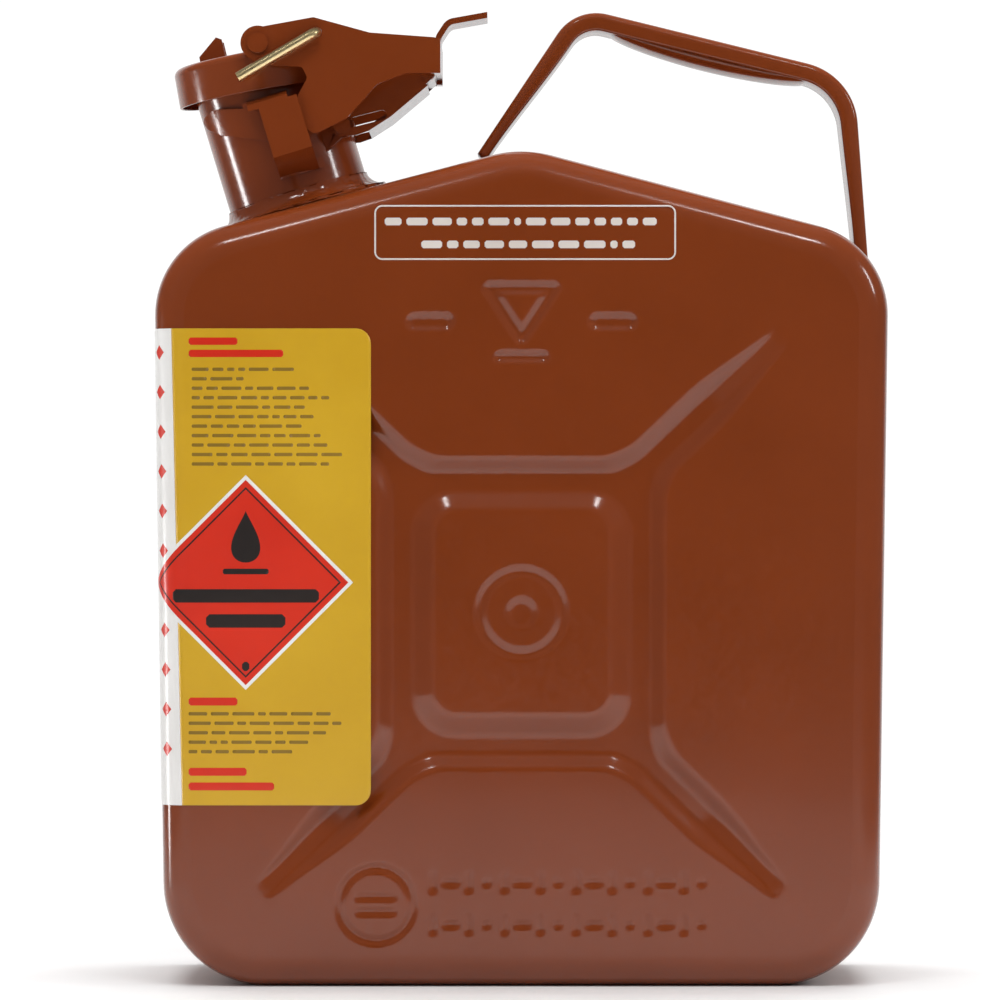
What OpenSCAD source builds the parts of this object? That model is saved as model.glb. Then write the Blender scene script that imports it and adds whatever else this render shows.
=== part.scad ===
// Five litre steel fuel can: two pressed shells, a tilted filler neck with a cam-lever closure,
// and a bent strap handle. Millimetres, +Z up, origin at the centre of the base.
// The front face looks towards -Y and the neck stands on the -X side.

/* [Body] */
// Width at the shoulders, on the seam
body_w = 244; // [241:0.5:248]
// Width at the base, on the seam
base_w = 238; // [234:0.5:240]
// Depth over both faces
body_d = 102; // [98:1:110]
// Height of the point where the two roof slopes would meet
apex_z = 277; // [275:0.5:279]
// Slope of each side of the roof
roof_slope = 15; // [14.5:0.1:15.5]
// Radius of the shoulders
shoulder_r = 32; // [28:0.5:33]
// Radius of the bottom corners
base_r = 35; // [28:0.5:36]
// Radius where each face turns into the rim
edge_r = 10; // [8:0.5:11]
// Draft of the pressing at the face
draft = 1.3; // [1:0.1:1.6]
// Sheet thickness
sheet = 1; // [0.8:0.1:1.2]

/* [Pressed cross] */
// Height of the centre of the cross
cross_z = 123; // [118:1:126]
// Depth of the groove
groove_depth = 3; // [2:0.5:3.5]
// Width of the ring round the centre panel
ring_w = 9.5; // [8:0.5:10.5]
// Half width of the centre panel
panel_hw = 34; // [32:0.5:35]
// Half height of the centre panel
panel_hh = 39.5; // [38:0.5:40.5]

/* [Neck] */
// Where the neck's axis meets the roof
neck_x = -73.5; // [-75:0.5:-73]
// Lean of the neck away from upright
neck_tilt = 17; // [16.5:0.1:17.5]
// Outer radius of the neck tube
neck_r = 23.6; // [23.4:0.1:23.8]
// Wall of the neck tube
neck_wall = 1.2; // [1:0.1:1.4]
// Length of the neck from the roof to the mouth
neck_len = 49.6; // [49:0.1:50.5]
// Lean of the mouth and the lid
mouth_tilt = 10; // [9.5:0.1:10.5]

/* [Closure] */
// Outer radius of the lid at its top
lid_r = 28.6; // [28.4:0.1:28.7]
// Height of the lid
lid_h = 13.3; // [12.5:0.1:13.5]
// Thickness of the lever's sheet
lever_t = 2; // [1.8:0.1:2]
// Distance from the lid pivot to the link pin
lever_reach = 55.7; // [55.2:0.1:56]
// Radius of the hinge studs
stud_r = 1.6; // [1.5:0.1:1.7]
// Radius of the locking pin's wire
wire_r = 1.7; // [1.6:0.05:1.75]

/* [Handle] */
// Width of the handle channel
handle_w = 25; // [22:0.5:27]
// Depth of the handle's side flanges
flange_h = 5.5; // [4.5:0.5:6]
// Sheet thickness of the handle
handle_t = 1.8; // [1.5:0.1:2]

/* [Hidden] */
$fn = 64;

outline_fn = 40;

paint = [0.46, 0.2, 0.09];
face_y = body_d / 2;
thin = 0.01;
gap = 0.02;
run_gap = 0.05;
neck_bore_r = neck_r - neck_wall;

// Places of the closure's pivots
neck_z = apex_z + neck_x * tan(roof_slope);
mouth_x = neck_x - neck_len * sin(neck_tilt);
mouth_z = neck_z + neck_len * cos(neck_tilt);
pivot_h = 5.8;
pivot_s = 1.8;
pivot_x = mouth_x - pivot_h * sin(mouth_tilt) + pivot_s * cos(mouth_tilt);
pivot_z = mouth_z + pivot_h * cos(mouth_tilt) + pivot_s * sin(mouth_tilt);
lid_top = 4 - pivot_h;
stud_s = 21;
stud_t = 21.7;
stud_x = neck_x + stud_s * cos(neck_tilt) - stud_t * sin(neck_tilt);
stud_z = neck_z + stud_s * sin(neck_tilt) + stud_t * cos(neck_tilt);
link_pin_dz = -8.8;
link_pin_x = pivot_x + lever_reach;
link_pin_z = pivot_z + link_pin_dz;
wire_dx = 19.4;
wire_dz = 3.5;

// Layers of the closure, measured out from the mid plane
lug_y = 17.4;
link_y = 20.3;
link_t = 1.8;
cheek_y = 30;
strap_y = 32.7;
strap_t = 1.8;
head_t = 0.8;
ear_y = 28.8;
ear_t = 1.1;

// Pins and the lever's end web
rivet_r = 2.4;
stem_r = 2.5;
link_pin_r = 1.5;
web_x = lever_reach + 2.7;

// ---- Shared frames and shapes ----

// Turns a drawing in X and Z into a plate that runs from y1 to y2
module plate(y1, y2) {
    translate([0, y2, 0])
        rotate([90, 0, 0])
            linear_extrude(y2 - y1)
                children();
}

// The same plate on both sides of the mid plane
module plates(y1, y2) {
    plate(y1, y2)
        children();
    plate(-y2, -y1)
        children();
}

// Rod along Y
module rod(r, y1, y2) {
    translate([0, y2, 0])
        rotate([90, 0, 0])
            cylinder(r = r, h = y2 - y1);
}

// Rods on both sides of the mid plane
module rods(r, y1, y2) {
    rod(r, y1, y2);
    rod(r, -y2, -y1);
}

module at_neck() {
    translate([neck_x, 0, neck_z])
        rotate([0, -neck_tilt, 0])
            children();
}

module at_mouth() {
    translate([mouth_x, 0, mouth_z])
        rotate([0, -mouth_tilt, 0])
            children();
}

module at_pivot() {
    translate([pivot_x, 0, pivot_z])
        children();
}

// Frame on the lid's axis, level with the pivot
module at_lid() {
    at_pivot()
        rotate([0, -mouth_tilt, 0])
            translate([-pivot_s, 0, 0])
                children();
}

module at_stud() {
    translate([stud_x, 0, stud_z])
        children();
}

module at_link_pin() {
    translate([link_pin_x, 0, link_pin_z])
        children();
}

// ---- Body ----

roof_r = 40;
roof_c = apex_z * cos(roof_slope);
shoulder_x = body_w / 2 - shoulder_r;
shoulder_z = (roof_c - shoulder_r - shoulder_x * sin(roof_slope)) / cos(roof_slope);

// Outline of the can seen from the front, shrunk all round by inset.
// The taper narrows the sides and the roof and leaves the base flat.
module body_outline(inset, taper = 0) {
    hull() {
        translate([0, apex_z - roof_r / cos(roof_slope)])
            circle(roof_r - taper - inset, $fn = outline_fn);
        for (side = [-1, 1]) {
            translate([side * shoulder_x, shoulder_z])
                circle(shoulder_r - taper - inset, $fn = outline_fn);
            translate([side * (base_w / 2 - base_r), base_r - taper])
                circle(base_r - taper - inset, $fn = outline_fn);
        }
    }
}

// Solid body from the seam to one face, shrunk all round by inset
module half_body(inset) {
    hull() {
        plate(-thin, 0)
            body_outline(inset);
        for (turn = [0 : 22.5 : 90]) {
            slice_y = -face_y + inset + edge_r * (1 - sin(turn));
            plate(slice_y, slice_y + thin)
                body_outline(inset + edge_r * (1 - cos(turn)), draft);
        }
    }
}

module rounded_panel(hw, hh, r) {
    offset(r)
        square([2 * (hw - r), 2 * (hh - r)], center = true);
}

// Groove of the pressed cross: a ring with four tapering arms
arm_reach_x = 84;
arm_up = 88;
arm_down = 90;

module arm(reach) {
    polygon([
        [panel_hw - 4, panel_hh + ring_w - 1],
        [panel_hw + 3, panel_hh + ring_w - 1],
        [arm_reach_x, reach],
        [arm_reach_x, reach - 8],
        [panel_hw + ring_w - 1, panel_hh - 1],
        [panel_hw + ring_w - 1, panel_hh - 9]
    ]);
}

module cross_groove() {
    translate([0, cross_z]) {
        difference() {
            union() {
                rounded_panel(panel_hw + ring_w, panel_hh + ring_w, 14);
                for (side = [0, 1])
                    mirror([side, 0]) {
                        arm(arm_up);
                        mirror([0, 1])
                            arm(arm_down);
                    }
            }
            rounded_panel(panel_hw, panel_hh, 11);
        }
    }
}

module neck_hole() {
    weld_gap = 0.1;
    at_neck()
        cylinder(r = neck_r + weld_gap, h = 40, center = true);
}

module shell() {
    difference() {
        half_body(0);
        difference() {
            half_body(sheet);
            plate(-face_y, -face_y + groove_depth + sheet)
                offset(delta = sheet)
                    cross_groove();
        }
        plate(-face_y - 1, -face_y + groove_depth)
            cross_groove();
        neck_hole();
    }
}

module front_shell() {
    color(paint)
        shell();
}

module rear_shell() {
    color(paint)
        mirror([0, 1, 0])
            shell();
}

handle_foot_l = -19;

module seam_weld() {
    bead_w = 3;
    bead_t = 0.6;
    color(paint)
        difference() {
            plate(-bead_w / 2, bead_w / 2)
                difference() {
                    body_outline(-bead_t);
                    body_outline(-gap);
                    translate([handle_foot_l - 8, apex_z - 30])
                        square([24, 40]);
                    translate([shoulder_x - 4, shoulder_z])
                        square([40, 40]);
                    translate([-base_w / 2 + 15, -5])
                        square([base_w - 30, 10]);
                }
            at_neck()
                cylinder(r = neck_r + 8, h = 60, center = true);
        }
}

// ---- Neck ----

module neck() {
    lip_r = 1.8;
    color(paint)
        difference() {
            union() {
                difference() {
                    at_neck()
                        translate([0, 0, -6])
                            cylinder(r = neck_r, h = neck_len + 12);
                    at_mouth()
                        translate([0, 0, -lip_r + 50])
                            cube(100, center = true);
                }
                at_mouth()
                    translate([0, 0, -lip_r])
                        rotate_extrude()
                            translate([neck_r + 0.4, 0])
                                circle(lip_r, $fn = 32);
            }
            at_neck()
                translate([0, 0, -10])
                    cylinder(r = neck_bore_r, h = neck_len + 30);
        }
}

module neck_collar() {
    fillet_r = 5;
    edge_t = 0.6;
    color(paint)
        difference() {
            at_neck()
                translate([0, 0, -3])
                    rotate_extrude()
                        translate([neck_r + gap, 0])
                            difference() {
                                square([fillet_r + edge_t, fillet_r + edge_t + 3]);
                                translate([fillet_r + edge_t, fillet_r + edge_t + 3])
                                    circle(fillet_r);
                            }
            translate([neck_x, 0, neck_z])
                rotate([0, -roof_slope, 0])
                    translate([0, 0, -50 + gap])
                        cube(100, center = true);
        }
}

// Straight tube down the neck that ends in a bend towards the handle
module breather_shape(r, drop, bend_angle) {
    bend_r = 14;
    cylinder(r = r, h = drop);
    translate([bend_r, 0, 0])
        rotate([90, 0, 0])
            rotate_extrude(angle = bend_angle, start = 180)
                translate([bend_r, 0])
                    circle(r, $fn = 32);
}

module breather_tube() {
    tube_r = 3.5;
    tube_t = 0.8;
    drop = 48;
    color("silver")
        at_neck()
            translate([neck_bore_r - tube_r - 0.3, 0, neck_len - 14 - drop])
                difference() {
                    breather_shape(tube_r, drop, 70);
                    breather_shape(tube_r - tube_t, drop + 1, 72);
                }
}

// ---- Brackets, lugs and studs ----

strap_left = -3.5;
strap_right = 9.8;
strap_top = 36;
strap_bottom = 17;

module strap_side(s1, s2) {
    translate([s1, 0, 0])
        rotate([90, 0, 90])
            linear_extrude(s2 - s1)
                children();
}

// Arm that reaches round the neck from the strap, drawn flat from the front
module bracket_arm() {
    offset(1.8)
        polygon([[-1, 24], [-1, 32], [-18.2, 37.4], [-21.2, 36.4], [-20.8, 35], [-17.2, 31.8]]);
}

module bracket() {
    band_t = 1.8;
    root_y = 24.2;
    out_y = strap_y + strap_t;
    foot_low = strap_bottom - 7;
    color(paint)
        difference() {
            union() {
                strap_side(strap_left, strap_right)
                    polygon([
                        [-root_y, foot_low], [-out_y, strap_bottom], [-out_y, strap_top - 1],
                        [-strap_y, strap_top - 1], [-strap_y, strap_bottom + 1.2], [-root_y, foot_low + 2]
                    ]);
                strap_side(-7, 6.8)
                    polygon([
                        [-out_y, strap_top - 2], [-out_y, strap_top], [-root_y, strap_top + 2.2],
                        [-root_y, strap_top + 0.4], [-strap_y, strap_top - 1.8], [-strap_y, strap_top - 2]
                    ]);
                intersection() {
                    cylinder(r = neck_r + gap + band_t, h = 60);
                    plate(-40, -6)
                        bracket_arm();
                }
                translate([0, 0, foot_low])
                    rotate_extrude(angle = 36, start = 262)
                        translate([neck_r + gap, 0])
                            square([band_t, 4]);
                translate([0, 0, strap_top - 1.6])
                    rotate_extrude(angle = 40, start = 250)
                        translate([neck_r + gap, 0])
                            square([band_t, 3.6]);
            }
            translate([0, 0, -10])
                cylinder(r = neck_r + gap, h = 80);
        }
}

module bracket_front() {
    at_neck()
        bracket();
}

module bracket_rear() {
    mirror([0, 1, 0])
        at_neck()
            bracket();
}

module hinge_lugs() {
    lug_t = 2;
    lug_r = 4.2;
    color(paint)
        at_neck()
            difference() {
                plates(lug_y, lug_y + lug_t)
                    union() {
                        translate([stud_s, stud_t])
                            circle(lug_r);
                        polygon([
                            [10, stud_t - 9], [stud_s - 1, stud_t - 4],
                            [stud_s - 1, stud_t + 4], [10, stud_t + 9]
                        ]);
                    }
                cylinder(r = neck_r + gap, h = 90, center = true);
                translate([stud_s, 0, stud_t])
                    rod(stud_r + gap, -40, 40);
            }
}

module hinge_studs() {
    color(paint)
        at_stud() {
            rods(stud_r, lug_y - 1.2, link_y + link_t + 0.5);
            rods(stud_r + 1.3, link_y + link_t + 0.3, link_y + link_t + 1.4);
        }
}

// ---- Handle ----

handle_r1 = 15;
handle_r2 = 22;
handle_end_r = 8;
leg_angle = 56.3;
grip_angle = 13.8;
handle_top_z = 329;
left_leg_x = -14.7;
left_leg_z = 275.4;
right_leg_x = 116.5;

// Outline of the handle's frame, shrunk by inset. Each bend is a circle that touches its two straight legs.
module handle_outline(inset) {
    left_c = left_leg_z - left_leg_x * tan(leg_angle);
    bend1_x = (handle_top_z - handle_r1 / cos(grip_angle) - left_c + handle_r1 / cos(leg_angle))
        / (tan(leg_angle) + tan(grip_angle));
    bend1_z = handle_top_z - handle_r1 / cos(grip_angle) - bend1_x * tan(grip_angle);
    bend2_x = right_leg_x - 3.6 - handle_r2;
    bend2_z = handle_top_z - handle_r2 / cos(grip_angle) - bend2_x * tan(grip_angle);
    foot_x = left_leg_x - 8;
    foot_z = left_c + foot_x * tan(leg_angle) - handle_end_r / cos(leg_angle);
    hull() {
        translate([bend1_x, bend1_z])
            circle(handle_r1 - inset);
        translate([bend2_x, bend2_z])
            circle(handle_r2 - inset);
        translate([right_leg_x + 1 - handle_end_r, 205])
            circle(handle_end_r - inset);
        translate([foot_x, foot_z])
            circle(handle_end_r - inset);
    }
}

module handle_band(depth) {
    difference() {
        handle_outline(0);
        handle_outline(depth);
        body_outline(-0.4);
    }
}

// Feet of the handle: short tongues that lie on the roof
module handle_feet() {
    foot_t = 1.8;
    intersection() {
        difference() {
            body_outline(-foot_t - gap);
            body_outline(-gap);
        }
        union() {
            translate([handle_foot_l - 1, 240])
                square([9, 60]);
            translate([right_leg_x - 14, 225])
                square([12, 25]);
        }
    }
}

module handle() {
    color(paint) {
        difference() {
            plate(-handle_w / 2, handle_w / 2)
                handle_band(flange_h);
            plate(handle_t - handle_w / 2, handle_w / 2 - handle_t)
                handle_outline(handle_t);
        }
        plate(0.3 - handle_w / 2, handle_w / 2 - 0.3)
            handle_feet();
    }
}

module grip_liner() {
    liner_t = 1.2;
    belly = 2.6;
    half_w = handle_w / 2 - handle_t - gap;
    start_x = 34;
    end_x = 94;
    arc_r = (half_w * half_w + belly * belly) / (2 * belly);
    length = (end_x - start_x) / cos(grip_angle);
    color(paint)
        translate([start_x, 0, handle_top_z - start_x * tan(grip_angle)])
            rotate([0, grip_angle, 0])
                translate([0, 0, -flange_h + arc_r - belly])
                    rotate([0, 90, 0])
                        difference() {
                            intersection() {
                                cylinder(r = arc_r, h = length);
                                translate([arc_r - belly - 1.2, -half_w, 0])
                                    cube([belly + 2, 2 * half_w, length]);
                            }
                            translate([0, 0, -1])
                                cylinder(r = arc_r - liner_t, h = length + 2);
                        }
}

// ---- Label ----

module label() {
    label_t = 0.25;
    right_x = -49.3;
    low_z = 59.6;
    high_z = 215.8;
    wrap_y = -24;
    corner_r = 5;
    color("gold")
        intersection() {
            difference() {
                half_body(-label_t);
                half_body(-gap);
            }
            plate(-face_y - 5, wrap_y)
                translate([right_x - 60, (low_z + high_z) / 2])
                    offset(corner_r)
                        square([120 - 2 * corner_r, high_z - low_z - 2 * corner_r], center = true);
        }
}

// ---- Closure ----

module hinge_link() {
    boss_r = 3.7;
    pin_boss_r = 2.9;
    pin_dx = link_pin_x - stud_x;
    pin_dz = link_pin_z - stud_z;
    bend = [16.3, 2.8];
    slot_end = [13.4, 3.4];
    web_y = link_y + link_t;
    color(paint)
        difference() {
            at_stud() {
                plates(link_y, web_y)
                    union() {
                        circle(boss_r);
                        translate([pin_dx, pin_dz])
                            circle(pin_boss_r);
                        polygon([
                            [0.5, -boss_r + 0.1], [5, -3.3], [9, -1.9], bend, [pin_dx + 2.2, pin_dz - 1.9],
                            [pin_dx - 1.8, pin_dz + 2.3], [12, 10.5], [2, boss_r - 0.5]
                        ]);
                    }
                plate(-web_y, web_y)
                    polygon([
                        [9, -1.9], bend, [pin_dx + 0.4, pin_dz - 4.6],
                        [pin_dx - 0.9, pin_dz - 3.6], [bend[0] - 1, bend[1] + 1.6], [8.3, -0.4]
                    ]);
            }
            at_stud() {
                rod(stud_r + run_gap, -40, 40);
                plates(link_y - 1, web_y + 1)
                    union() {
                        translate(slot_end)
                            circle(stud_r);
                        polygon([
                            [0.4, -stud_r + 0.05], [slot_end[0] + 0.4, slot_end[1] - stud_r + 0.05],
                            [slot_end[0] - 0.4, slot_end[1] + stud_r - 0.05], [-0.4, stud_r - 0.05]
                        ]);
                    }
            }
            at_link_pin()
                rod(link_pin_r + gap, -40, 40);
        }
}

module link_pin() {
    color(paint)
        at_link_pin() {
            rod(link_pin_r, -link_y - link_t - 1, link_y + link_t + 1);
            rods(link_pin_r + 0.8, link_y + link_t + 0.1, link_y + link_t + 1);
        }
}

// One cheek of the lever, drawn from the lid pivot
module cheek_outline() {
    difference() {
        union() {
            circle(5.7);
            offset(2.5)
                offset(-2.5)
                    offset(-1.5)
                        offset(1.5)
                            polygon([
                                [-4, 4.4], [18.4, 8.5], [37, 3.4], [web_x + lever_t, 1.7],
                                [web_x + lever_t, -10], [49, -10], [39.5, -13.7], [29.4, -25],
                                [18.6, -30.4], [15.4, -27.5],
                                [13, -18], [16.4, -11.5], [14.6, -7.9], [3, -7.4], [-3, -5.2]
                            ]);
            translate([web_x - 1, -10])
                square([lever_t + 1, 11.6]);
        }
        translate([wire_dx, wire_dz])
            circle(wire_r + run_gap);
        circle(rivet_r + gap);
    }
}

// Space under the thumb tab, with its bend rounded
module tab_underside() {
    bend_r = 3;
    offset(bend_r)
        offset(delta = -bend_r)
            polygon([
                [web_x + lever_t, -20], [web_x + lever_t, 3], [web_x + 5, 7.6],
                [web_x + 30, 12.1], [web_x + 30, -20]
            ]);
}

// Thumb tab seen from the front: one sheet thickness round the space under it
module tab_section() {
    intersection() {
        difference() {
            offset(lever_t)
                tab_underside();
            tab_underside();
        }
        translate([web_x, -1])
            square([17.4, 20]);
    }
}

module lever() {
    knuckle_y = link_y - 0.5;
    knuckle_r = 3;
    tab_w = 24;
    color(paint)
        at_pivot() {
            plates(cheek_y, cheek_y + lever_t)
                cheek_outline();
            plate(-cheek_y - lever_t, cheek_y + lever_t)
                translate([web_x, -7.6])
                    square([lever_t, 9]);
            plates(link_y + link_t + 2, cheek_y + lever_t)
                translate([web_x, -10])
                    square([lever_t, 4]);
            difference() {
                plate(-knuckle_y, knuckle_y)
                    union() {
                        translate([web_x, link_pin_dz])
                            square([lever_t, 3]);
                        translate([lever_reach, link_pin_dz])
                            circle(knuckle_r);
                    }
                translate([lever_reach, 0, link_pin_dz])
                    rod(link_pin_r + run_gap, -40, 40);
            }
            plate(-tab_w / 2, tab_w / 2)
                tab_section();
        }
}

module lid_rivets() {
    color(paint)
        at_pivot() {
            rods(rivet_r, ear_y, cheek_y + lever_t + head_t - 0.2);
            rods(rivet_r + 1, cheek_y + lever_t + gap, cheek_y + lever_t + head_t);
        }
}

module locking_pin() {
    leg_len = 30;
    leg_angle_down = 30.4;
    leg_y = cheek_y + lever_t + head_t + 0.3 + wire_r;
    bend = 3;
    color("goldenrod")
        at_pivot()
            translate([wire_dx, 0, wire_dz])
                rotate([0, -leg_angle_down, 0]) {
                    rod(wire_r, -leg_y + bend, leg_y - bend);
                    for (side = [0, 1])
                        mirror([0, side, 0]) {
                            translate([-bend, -leg_y + bend, 0])
                                rotate_extrude(angle = 90, start = 270)
                                    translate([bend, 0])
                                        circle(wire_r, $fn = 32);
                            translate([-bend, -leg_y, 0])
                                rotate([0, -90, 0])
                                    cylinder(r = wire_r, h = leg_len - bend);
                        }
                }
}

// Half section of the lid's cup, shrunk by its wall for the inside
module cup_section(wall) {
    top_r = 2.6;
    translate([0, lid_top - lid_h - (wall > 0 ? 1 : 0)])
        square([lid_r - wall, lid_h - top_r + (wall > 0 ? 1 : 0)]);
    translate([0, lid_top - top_r - thin])
        square([lid_r - top_r, top_r + thin - wall]);
    translate([lid_r - top_r, lid_top - top_r])
        circle(top_r - wall);
}

module lid() {
    color(paint)
        at_lid()
            difference() {
                rotate_extrude()
                    cup_section(0);
                rotate_extrude()
                    cup_section(0.9);
                cylinder(r = stem_r + gap, h = 80, center = true);
            }
}

// Plate on top of the lid, with an ear at each end and a hook towards the spout
module lid_saddle() {
    plate_low = lid_top + gap;
    plate_t = 1.1;
    hook_y = 8;
    hook_left = -19;
    ear_half = 4.8;
    color(paint)
        at_lid()
            difference() {
                union() {
                    translate([hook_left, -hook_y, plate_low])
                        cube([33, 2 * hook_y, plate_t]);
                    translate([pivot_s - ear_half, -ear_y - ear_t, plate_low])
                        cube([2 * ear_half, 2 * (ear_y + ear_t), plate_t]);
                    plates(ear_y, ear_y + ear_t)
                        translate([pivot_s, 0])
                            circle(ear_half);
                    plates(hook_y - 1.4, hook_y)
                        polygon([
                            [hook_left, plate_low], [hook_left, plate_low + 2.4],
                            [-12.4, 6.2], [-10.6, 5.2], [-10.2, plate_low]
                        ]);
                }
                translate([pivot_s, 0, 0])
                    rods(rivet_r + run_gap, ear_y - 0.4, 40);
                translate([0, 0, plate_low])
                    cylinder(r = stem_r + gap, h = 3 * plate_t, center = true);
            }
}

module gasket() {
    color("dimgray")
        at_lid()
            translate([0, 0, lid_top - 3.8])
                difference() {
                    cylinder(r = lid_r - 4.3, h = 2.8);
                    translate([0, 0, -1])
                        cylinder(r = 18.6, h = 5);
                }
}

module gasket_retainer() {
    color("silver")
        at_lid()
            difference() {
                union() {
                    translate([0, 0, lid_top - 5])
                        cylinder(r = 20.4, h = 1);
                    translate([0, 0, lid_top - 4.2])
                        cylinder(r = 18.4, h = 3.2);
                }
                cylinder(r = stem_r + gap, h = 80, center = true);
            }
}

module retainer_rivet() {
    head_r = stem_r + 1.5;
    color(paint)
        at_lid() {
            translate([0, 0, lid_top - 5.8])
                cylinder(r = stem_r, h = 7.6);
            translate([0, 0, lid_top + 1.3])
                cylinder(r = head_r, h = 1.1);
            translate([0, 0, lid_top - 6.2])
                cylinder(r = head_r, h = 1.15);
        }
}

front_shell();
rear_shell();
seam_weld();
neck();
neck_collar();
breather_tube();
bracket_front();
bracket_rear();
hinge_lugs();
hinge_studs();
handle();
grip_liner();
label();
hinge_link();
link_pin();
lever();
lid_rivets();
locking_pin();
lid();
lid_saddle();
gasket();
gasket_retainer();
retainer_rivet();
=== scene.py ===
"""Looks of the five litre steel fuel can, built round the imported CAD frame.

Lengths of the can are written in millimetres and turned into metres by MM. The stage, the lamps and
the camera are placed in metres. The front face looks towards -Y.
"""

import math

import bmesh
import bpy
import numpy as np
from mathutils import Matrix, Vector


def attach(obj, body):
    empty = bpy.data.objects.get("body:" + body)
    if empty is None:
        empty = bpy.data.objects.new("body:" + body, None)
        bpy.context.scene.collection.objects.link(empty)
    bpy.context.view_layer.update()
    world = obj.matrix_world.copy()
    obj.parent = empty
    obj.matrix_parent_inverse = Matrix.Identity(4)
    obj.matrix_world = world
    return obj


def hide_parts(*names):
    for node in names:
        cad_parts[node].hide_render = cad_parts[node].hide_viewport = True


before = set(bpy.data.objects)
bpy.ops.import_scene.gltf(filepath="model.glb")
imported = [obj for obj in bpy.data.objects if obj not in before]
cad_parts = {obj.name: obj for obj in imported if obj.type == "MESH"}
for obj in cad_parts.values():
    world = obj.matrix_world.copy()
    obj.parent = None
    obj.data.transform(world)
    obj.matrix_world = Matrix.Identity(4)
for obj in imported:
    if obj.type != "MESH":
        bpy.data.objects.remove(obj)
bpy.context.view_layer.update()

MM = 0.001

# ---- Driving dimensions, as in the CAD model ----
FACE_Y = 51.0
APEX_Z = 277.0
ROOF_SLOPE = math.radians(15)
ROOF_R = 40.0
SHOULDER_R = 32.0
BASE_R = 35.0
HALF_TOP = 122.0
HALF_BASE = 119.0
HALF_MEAN = (HALF_TOP + HALF_BASE) / 2
EDGE_R = 10.0
DRAFT = 1.3

NECK_X = -73.5
NECK_TILT = math.radians(17)
NECK_R = 23.6
NECK_FOOT = (NECK_X, APEX_Z - abs(NECK_X) * math.tan(ROOF_SLOPE))


# ---- Mesh helpers ----

def new_piece(name, verts, faces, body, material):
    """Makes a smooth-shaded object from points in millimetres and rides it on a body."""
    mesh = bpy.data.meshes.new(name)
    points = np.asarray(verts, dtype=float) * MM
    mesh.from_pydata(points.tolist(), [], faces)
    obj = bpy.data.objects.new(name, mesh)
    bpy.context.scene.collection.objects.link(obj)
    clean = bmesh.new()
    clean.from_mesh(mesh)
    bmesh.ops.recalc_face_normals(clean, faces=clean.faces)
    clean.to_mesh(mesh)
    clean.free()
    mesh.shade_smooth()
    mesh.materials.append(material)
    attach(obj, body)
    return obj


def soften(obj, width, angle):
    """Rounds the edges of a piece that turn by more than the angle, given in degrees."""
    bevel = obj.modifiers.new("edges", "BEVEL")
    bevel.width = width * MM
    bevel.segments = 2
    bevel.limit_method = "ANGLE"
    bevel.angle_limit = math.radians(angle)
    normals = obj.modifiers.new("normals", "WEIGHTED_NORMAL")
    normals.keep_sharp = True


def thicken(obj, thickness):
    """Gives a bare surface its thickness, on the inside."""
    solid = obj.modifiers.new("sheet", "SOLIDIFY")
    solid.thickness = thickness * MM
    solid.offset = -1
    obj.modifiers.new("normals", "WEIGHTED_NORMAL")


def grid_faces(rows, cols, wrap_cols=False):
    """Quads of a grid of points listed row by row."""
    faces = []
    for r in range(rows - 1):
        here, above = r * cols, (r + 1) * cols
        for c in range(cols if wrap_cols else cols - 1):
            c2 = (c + 1) % cols
            faces.append((here + c, here + c2, above + c2, above + c))
    return faces


def arc_path(corners, radii, step):
    """Polyline through corners, with each inner corner rounded by its radius in steps of some degrees."""
    points = [Vector(corners[0])]
    for i in range(1, len(corners) - 1):
        here = Vector(corners[i])
        back = (Vector(corners[i - 1]) - here).normalized()
        ahead = (Vector(corners[i + 1]) - here).normalized()
        half = back.angle(ahead) / 2
        reach = radii[i - 1] / math.tan(half)
        centre = here + (back + ahead).normalized() * (radii[i - 1] / math.sin(half))
        start = here + back * reach - centre
        end = here + ahead * reach - centre
        first = math.atan2(start.y, start.x)
        sweep = (math.atan2(end.y, end.x) - first + math.pi) % (2 * math.pi) - math.pi
        count = max(2, int(math.degrees(abs(sweep)) / step))
        for k in range(count + 1):
            a = first + sweep * k / count
            points.append(centre + Vector((math.cos(a), math.sin(a))) * radii[i - 1])
    points.append(Vector(corners[-1]))
    return points


def round_profile(corners, radii, step):
    """Closed profile in the plane, with each corner rounded by its radius."""
    loop = []
    for i, radius in enumerate(radii):
        trio = [corners[i - 1], corners[i], corners[(i + 1) % len(corners)]]
        loop.extend(arc_path(trio, [radius], step)[1:-1])
    return [tuple(point) for point in loop]


# ---- Materials ----

# The stretch that the values of a noise mostly fall in
NOISE_LOW = 0.3
NOISE_HIGH = 0.7
# Scale of the broad colour patches, in features per metre
PATCHES = 22.0
COAT_ROUGHNESS = 0.05


def add_noise(nodes, links, scale, detail):
    """Noise in the object's own coordinates. Scale is in features per metre."""
    place = nodes.new("ShaderNodeTexCoord")
    noise = nodes.new("ShaderNodeTexNoise")
    noise.inputs["Scale"].default_value = scale
    noise.inputs["Detail"].default_value = detail
    links.new(place.outputs["Object"], noise.inputs["Vector"])
    return noise.outputs["Fac"]


def mapped(nodes, links, source, low, high):
    """A noise stretched to run from low to high."""
    span = nodes.new("ShaderNodeMapRange")
    span.inputs["From Min"].default_value = NOISE_LOW
    span.inputs["From Max"].default_value = NOISE_HIGH
    span.inputs["To Min"].default_value = low
    span.inputs["To Max"].default_value = high
    links.new(source, span.inputs["Value"])
    return span.outputs["Result"]


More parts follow.
